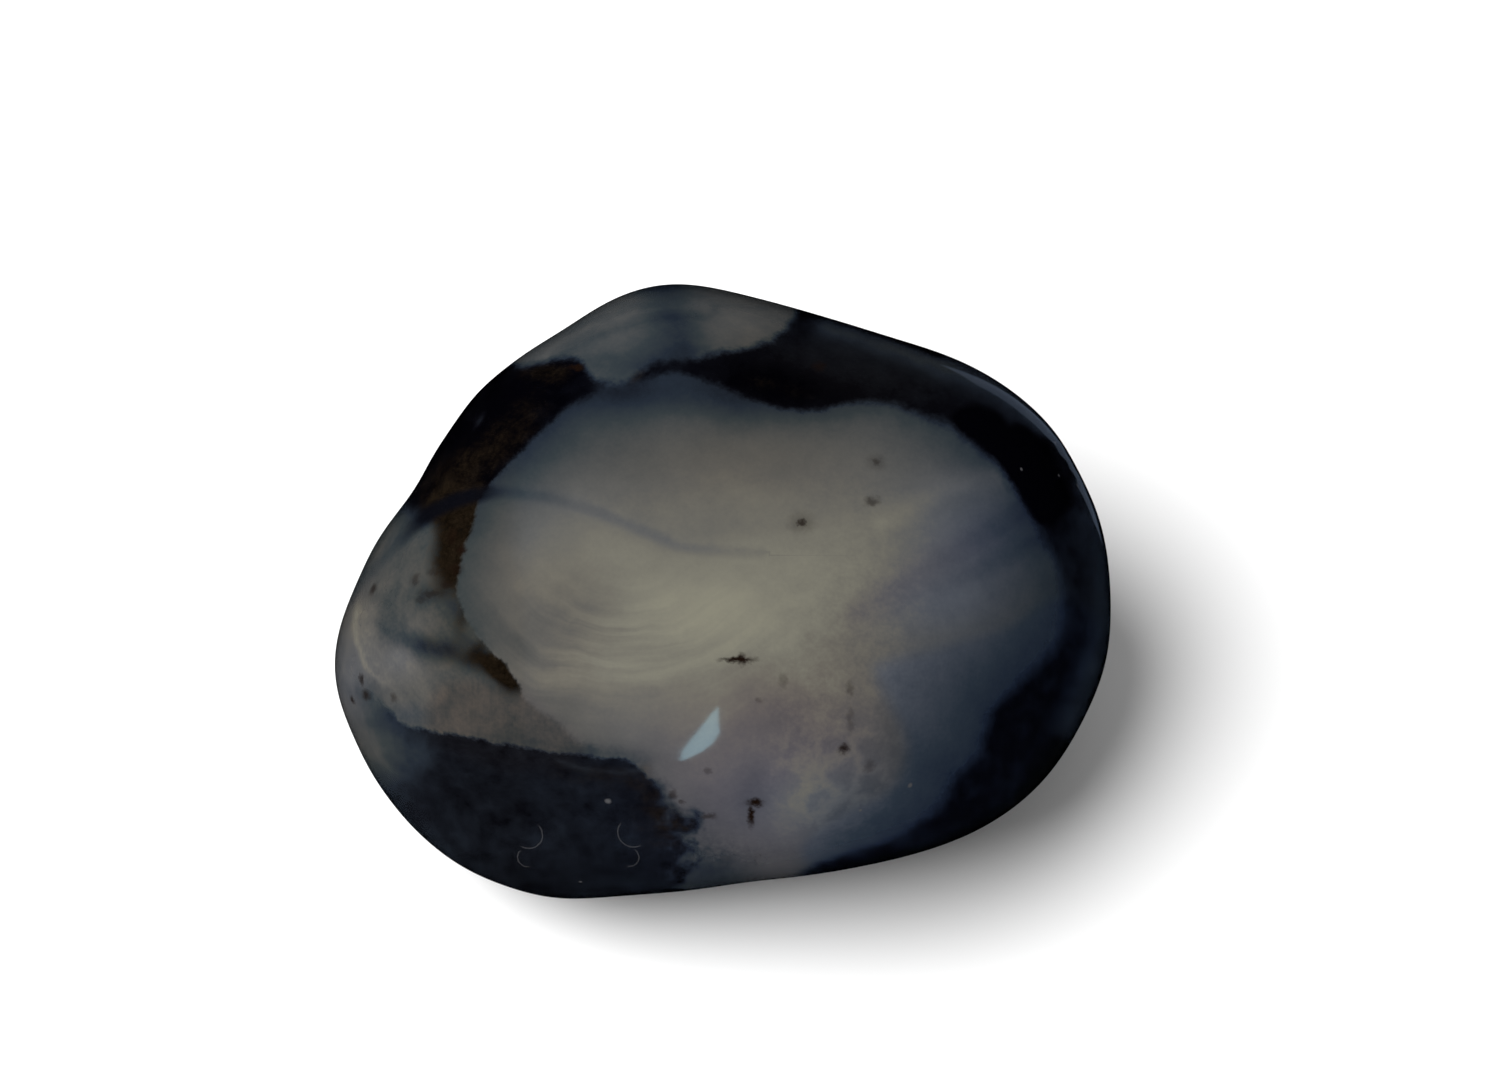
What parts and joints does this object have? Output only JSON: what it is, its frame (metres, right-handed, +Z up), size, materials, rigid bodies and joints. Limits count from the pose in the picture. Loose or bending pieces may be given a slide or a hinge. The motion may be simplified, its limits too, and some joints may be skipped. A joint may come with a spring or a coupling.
{
  "type": "snowflake obsidian tumbled stone",
  "caption": "Polished, tumbled pebble of black volcanic glass with cloudy grey patches, rounded on all sides and resting on a small worn flat.",
  "frame": {"origin": "on the surface that the stone rests on, below the middle of its outline seen from above", "axes": "+Z up, +X along the length of the stone, -Y towards the side that the broad pale face looks to"},
  "size_m": [0.0316, 0.0276, 0.0196],
  "materials": {
    "obsidian": "polished"
  },
  "bodies": {
    "root": {"stone": "obsidian"}
  },
  "joints": []
}
